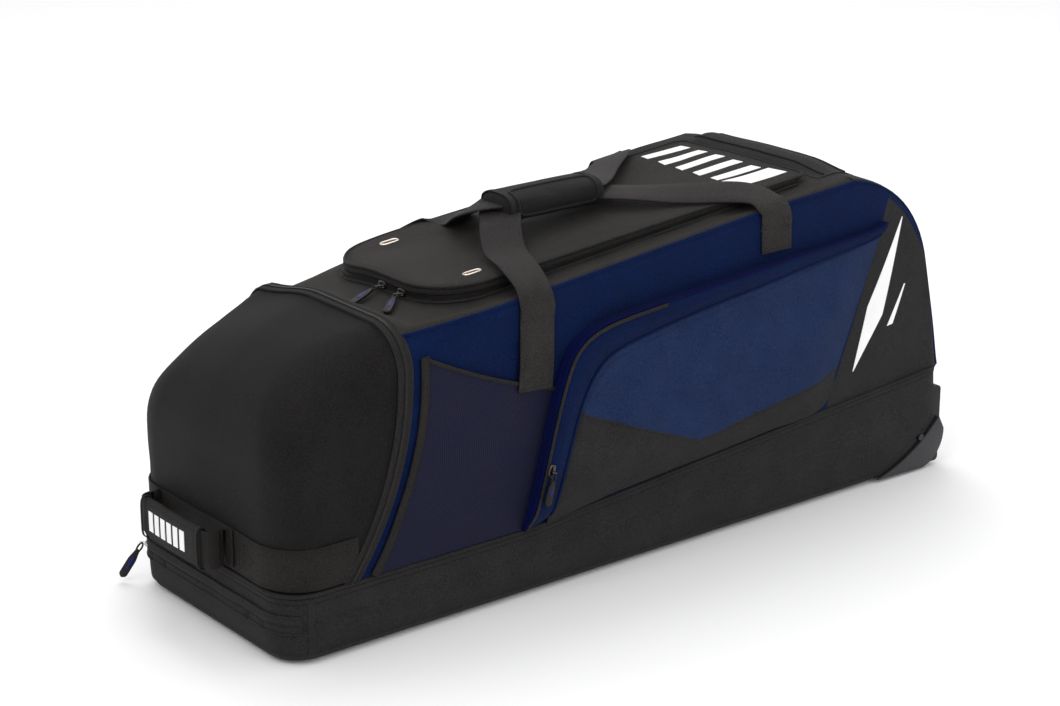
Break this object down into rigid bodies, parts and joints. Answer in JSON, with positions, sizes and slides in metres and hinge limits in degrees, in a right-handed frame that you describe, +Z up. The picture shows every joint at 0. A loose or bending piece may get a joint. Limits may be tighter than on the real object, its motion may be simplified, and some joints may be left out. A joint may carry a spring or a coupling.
{
  "type": "wheeled equipment bag",
  "caption": "Long wheeled sports equipment bag with a moulded helmet dome at its front, a zipped lid, a shoe tray in the base, side pockets, carry straps with a padded wrap, and corner wheels.",
  "frame": {"origin": "On the floor, under the middle of the bag's outline from the grab sleeve to the rear of the wheels.", "axes": "+Z up. The helmet dome is at -X and the wheels are at +X. The left side is at -Y."},
  "size_m": [0.963, 0.3472, 0.3991],
  "materials": {
    "shell_fabric": "matte woven",
    "dome_fabric": "moulded, fine weave",
    "navy_fabric": "matte woven",
    "mesh": "open knit",
    "webbing": "ribbed weave",
    "padding": "padded, matte",
    "lining": "smooth woven",
    "zip_tape": "coil zip",
    "board": "matte",
    "housing_plastic": "matte moulded",
    "guard_plastic": "satin moulded",
    "tyre_rubber": "matte",
    "foot_rubber": "matte",
    "hub_plastic": "satin",
    "steel": "brushed",
    "gunmetal": "dark plated",
    "silver": "plated",
    "pull_rubber": "soft moulded"
  },
  "bodies": {
    "bag": {"base_shell": "shell_fabric", "base_board": "board", "divider_panel": "lining", "foot_left": "foot_rubber", "foot_right": "foot_rubber", "wheel_housing_left": "housing_plastic", "wheel_housing_right": "housing_plastic", "wheel_guard_left": "guard_plastic", "wheel_guard_right": "guard_plastic", "wheel_axle_left": "steel", "wheel_axle_right": "steel", "side_panel_left": "navy_fabric", "side_panel_right": "navy_fabric", "rear_panel": "shell_fabric", "top_frame": "shell_fabric", "arch_zip": "zip_tape", "rear_pocket": "shell_fabric", "lid_zip": "zip_tape", "mesh_pocket_left": "mesh", "mesh_pocket_right": "mesh", "strap_leg_front_left": "webbing", "strap_leg_rear_left": "webbing", "strap_leg_front_right": "webbing", "strap_leg_rear_right": "webbing"},
    "dome": {"dome_shell": "dome_fabric", "dome_band": "webbing", "grab_handle": "webbing", "grab_sleeve": "padding"},
    "lid": {"lid_panel": "shell_fabric", "lid_rim": "shell_fabric", "eyelet_left": "silver", "eyelet_right": "silver"},
    "tray_flap": {"tray_flap": "shell_fabric"},
    "pocket_left": {"side_pocket_left": "navy_fabric"},
    "pocket_right": {"side_pocket_right": "navy_fabric"},
    "wheel_left": {"tyre_left": "tyre_rubber", "wheel_hub_left": "hub_plastic", "wheel_bearings_left": "steel"},
    "wheel_right": {"tyre_right": "tyre_rubber", "wheel_hub_right": "hub_plastic", "wheel_bearings_right": "steel"},
    "handle_left": {"carry_strap_left": "webbing", "handle_wrap": "padding"},
    "handle_right": {"carry_strap_right": "webbing"},
    "lid_slider_a": {"lid_slider_a": "gunmetal"},
    "lid_pull_a": {"lid_pull_a": "pull_rubber"},
    "lid_slider_b": {"lid_slider_b": "gunmetal"},
    "lid_pull_b": {"lid_pull_b": "pull_rubber"},
    "tray_slider": {"tray_slider": "silver"},
    "tray_pull": {"tray_pull": "pull_rubber"},
    "pocket_slider_left": {"pocket_slider_left": "gunmetal"},
    "pocket_pull_left": {"pocket_pull_left": "pull_rubber"},
    "pocket_slider_right": {"pocket_slider_right": "gunmetal"},
    "pocket_pull_right": {"pocket_pull_right": "pull_rubber"},
    "rear_slider": {"rear_slider": "gunmetal"},
    "rear_pull": {"rear_pull": "pull_rubber"}
  },
  "joints": [
    {"name": "wheel_left_spin", "type": "hinge", "parent": "bag", "child": "wheel_left", "pos_m": [0.4395, -0.129, 0.042], "axis": [0, 1, 0], "continuous": true},
    {"name": "wheel_right_spin", "type": "hinge", "parent": "bag", "child": "wheel_right", "pos_m": [0.4395, 0.129, 0.042], "axis": [0, 1, 0], "continuous": true},
    {"name": "lid_hinge", "type": "hinge", "parent": "bag", "child": "lid", "pos_m": [0.2775, 0, 0.38065], "axis": [0, 1, 0], "range_deg": [0, 105]},
    {"name": "dome_hinge", "type": "hinge", "parent": "bag", "child": "dome", "pos_m": [-0.4495, 0, 0.076], "axis": [0, -1, 0], "range_deg": [0, 75]},
    {"name": "tray_flap_hinge", "type": "hinge", "parent": "bag", "child": "tray_flap", "pos_m": [-0.4495, 0, 0.011], "axis": [0, -1, 0], "range_deg": [0, 80]},
    {"name": "pocket_left_hinge", "type": "hinge", "parent": "bag", "child": "pocket_left", "pos_m": [-0.1565, -0.1464, 0.077], "axis": [0.9966, 0, 0.0824], "range_deg": [0, 22], "stiffness_Nm_per_rad": 1.5, "springref_deg": -4.58},
    {"name": "pocket_right_hinge", "type": "hinge", "parent": "bag", "child": "pocket_right", "pos_m": [-0.1565, 0.1464, 0.077], "axis": [-0.9966, 0, -0.0824], "range_deg": [0, 22], "stiffness_Nm_per_rad": 1.5, "springref_deg": -4.58},
    {"name": "handle_left_swing", "type": "hinge", "parent": "bag", "child": "handle_left", "pos_m": [-0.1385, -0.1476, 0.31552], "axis": [0.9949, 0, 0.1008], "range_deg": [0, 200], "deforming": ["carry_strap_left", "handle_wrap"]},
    {"name": "handle_right_swing", "type": "hinge", "parent": "bag", "child": "handle_right", "pos_m": [-0.1385, 0.1476, 0.31552], "axis": [-0.9949, 0, -0.1008], "range_deg": [0, 200], "deforming": ["carry_strap_right"]},
    {"name": "lid_slider_a_run", "type": "slide", "parent": "bag", "child": "lid_slider_a", "axis": [0, 1, 0], "range_m": [0, 0.045]},
    {"name": "lid_pull_a_swing", "type": "hinge", "parent": "lid_slider_a", "child": "lid_pull_a", "pos_m": [-0.2403, -0.01, 0.32761], "axis": [-0.309, 0.9511, 0], "range_deg": [0, 110]},
    {"name": "lid_slider_b_run", "type": "hinge", "parent": "bag", "child": "lid_slider_b", "pos_m": [-0.1695, -0.044, 0.32839], "axis": [-0.1008, 0, 0.9949], "range_deg": [0, 70]},
    {"name": "lid_pull_b_swing", "type": "hinge", "parent": "lid_slider_b", "child": "lid_pull_b", "pos_m": [-0.2403, -0.044, 0.32761], "axis": [-0.6691, 0.7431, 0], "range_deg": [0, 110]},
    {"name": "tray_slider_run", "type": "hinge", "parent": "bag", "child": "tray_slider", "pos_m": [-0.4115, 0.108, 0.045], "axis": [0, 0, 1], "range_deg": [0, 38]},
    {"name": "tray_pull_swing", "type": "hinge", "parent": "tray_slider", "child": "tray_pull", "pos_m": [-0.44838, 0.13681, 0.045], "axis": [0.6157, 0.788, 0], "range_deg": [-15, 70]},
    {"name": "pocket_slider_left_run", "type": "slide", "parent": "pocket_left", "child": "pocket_slider_left", "axis": [0.277, 0, 0.9609], "range_m": [0, 0.085]},
    {"name": "pocket_pull_left_swing", "type": "hinge", "parent": "pocket_slider_left", "child": "pocket_pull_left", "pos_m": [-0.13358, -0.1721, 0.14475], "axis": [-0.9609, 0, 0.277], "range_deg": [0, 80]},
    {"name": "pocket_slider_right_run", "type": "slide", "parent": "pocket_right", "child": "pocket_slider_right", "axis": [0.277, 0, 0.9609], "range_m": [0, 0.085]},
    {"name": "pocket_pull_right_swing", "type": "hinge", "parent": "pocket_slider_right", "child": "pocket_pull_right", "pos_m": [-0.13358, 0.1721, 0.14475], "axis": [0.9609, 0, -0.277], "range_deg": [0, 80]},
    {"name": "rear_slider_run", "type": "slide", "parent": "bag", "child": "rear_slider", "axis": [0, 1, 0], "range_m": [0, 0.22]},
    {"name": "rear_pull_swing", "type": "hinge", "parent": "rear_slider", "child": "rear_pull", "pos_m": [0.44834, -0.1156, 0.23918], "axis": [0, -1, 0], "range_deg": [0, 80]}
  ]
}
